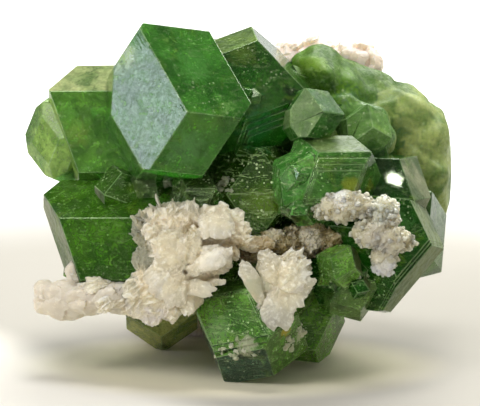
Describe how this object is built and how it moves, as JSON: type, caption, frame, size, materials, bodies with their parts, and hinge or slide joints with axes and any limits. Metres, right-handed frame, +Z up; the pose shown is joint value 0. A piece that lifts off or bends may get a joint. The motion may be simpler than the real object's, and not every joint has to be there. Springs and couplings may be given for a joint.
{
  "type": "demantoid garnet specimen",
  "caption": "Cluster of green dodecahedral garnet crystals grown together, crusted with cream-white and grey minerals, on a remnant of pale matrix rock.",
  "frame": {"origin": "centre of the box's footprint, on the surface that the specimen rests on", "axes": "+Z up, -Y towards the viewer of the crystal front, +X to that viewer's right"},
  "size_m": [0.0302, 0.023, 0.0248],
  "materials": {
    "green_garnet": "translucent green crystal with bright, finely lined faces",
    "cream_mineral": "matte cream-white, slightly translucent at its edges",
    "petal_mineral": "silky, finely ribbed petals with bright rims",
    "grey_mineral": "sugary grey-white grains with small bright glints",
    "tan_mineral": "dull brown grains with paler crumbs",
    "matrix_rock": "rough pale rock"
  },
  "bodies": {
    "root": {"garnet_cluster": "green_garnet", "white_mineral": "cream_mineral", "petal_fan": "petal_mineral", "grey_druse": "grey_mineral", "tan_crust": "tan_mineral", "back_matrix": "matrix_rock"}
  },
  "joints": []
}
